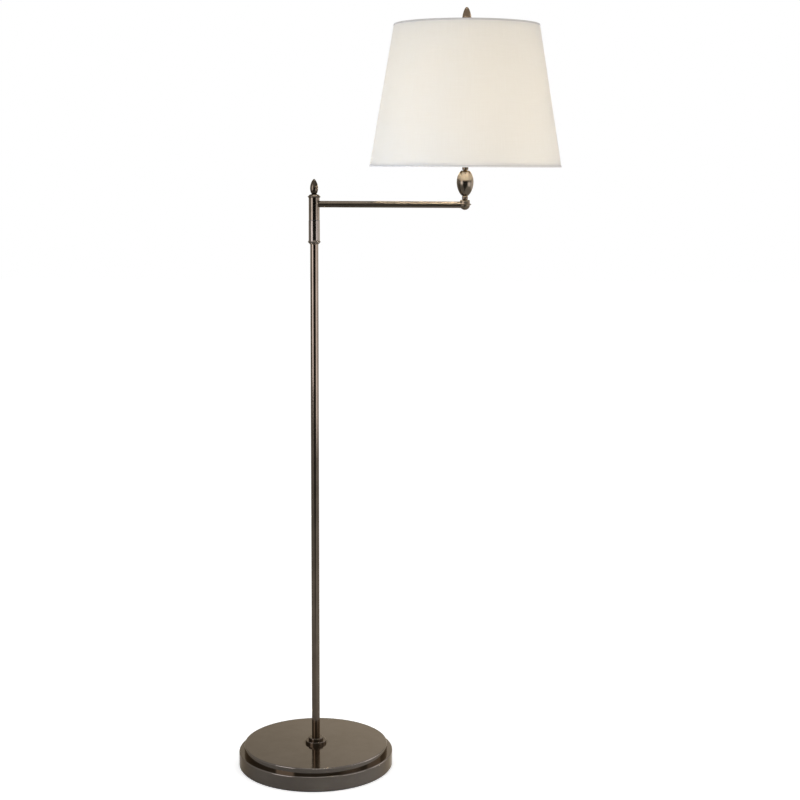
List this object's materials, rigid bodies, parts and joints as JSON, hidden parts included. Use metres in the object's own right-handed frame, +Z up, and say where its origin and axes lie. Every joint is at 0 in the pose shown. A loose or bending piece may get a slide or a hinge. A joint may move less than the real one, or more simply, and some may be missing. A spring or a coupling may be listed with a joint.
{
  "type": "bridge floor lamp",
  "caption": "Floor lamp with a stepped round base and slim pole, whose side arm swings round the pole and carries a turned egg, a lamp holder and harp, and a cone-shaped linen shade.",
  "frame": {"origin": "on the floor, on the pole's axis", "axes": "+Z up along the pole, +X along the arm at rest, +Y towards the cord inlet at the back"},
  "size_m": [0.5635, 0.33, 1.3408],
  "materials": {
    "bronze": "polished dark bronze",
    "brass": "satin brass",
    "steel": "zinc plated",
    "iron": "as cast, black",
    "felt": "pressed felt",
    "black_plastic": "moulded, matt",
    "black_moulding": "moulded phenolic, glossy",
    "card": "insulating card",
    "bulb_glass": "frosted white",
    "linen": "fine plain-weave linen on a stiff backing",
    "tape": "rolled linen edge tape"
  },
  "bodies": {
    "stand": {"felt_pad": "felt", "base_weight": "iron", "step_weight": "iron", "base_cover": "bronze", "step_cover": "bronze", "cord_bushing": "black_plastic", "base_rod": "steel", "base_washer": "steel", "split_washer": "steel", "base_nut": "steel", "foot_collar": "bronze", "pole_foot_bush": "steel", "pole": "bronze", "lower_sleeve": "bronze", "swing_spindle": "steel", "stop_pin": "steel", "thrust_washer": "black_plastic", "spindle_nut": "steel"},
    "arm": {"swing_hub": "bronze", "hub_cap": "bronze", "pole_finial": "bronze", "arm_tube": "bronze", "ball_elbow": "bronze", "elbow_cap": "bronze", "neck_spool": "bronze", "egg_body": "bronze", "check_ring": "bronze", "shade_finial": "bronze", "saddle_nut": "steel", "bulb_cap": "steel", "bulb_contact": "steel", "egg_tube": "brass", "harp_saddle": "brass", "harp_wire": "brass", "harp_ferrules": "brass", "harp_seat": "brass", "holder_cap": "brass", "holder_shell": "brass", "holder_screw_shell": "brass", "holder_contact": "brass", "holder_liner": "card", "holder_core": "black_moulding", "bulb_glass": "bulb_glass"},
    "switch": {"switch_shaft": "brass", "switch_knob": "black_moulding"},
    "shade": {"shade_linen": "linen", "shade_top_ring": "steel", "shade_low_ring": "steel", "shade_spider": "steel", "shade_top_tape": "tape", "shade_low_tape": "tape"}
  },
  "joints": [
    {"name": "arm_swing", "type": "hinge", "parent": "stand", "child": "arm", "pos_m": [0, 0, 0.9807], "axis": [0, 0, 1], "range_deg": [-165, 165]},
    {"name": "switch_turn", "type": "hinge", "parent": "arm", "child": "switch", "pos_m": [0.26, -0.03, 1.1017], "axis": [0, -1, 0], "continuous": true},
    {"name": "shade_turn", "type": "hinge", "parent": "arm", "child": "shade", "pos_m": [0.26, 0, 1.2987], "axis": [0, 0, 1], "continuous": true}
  ]
}
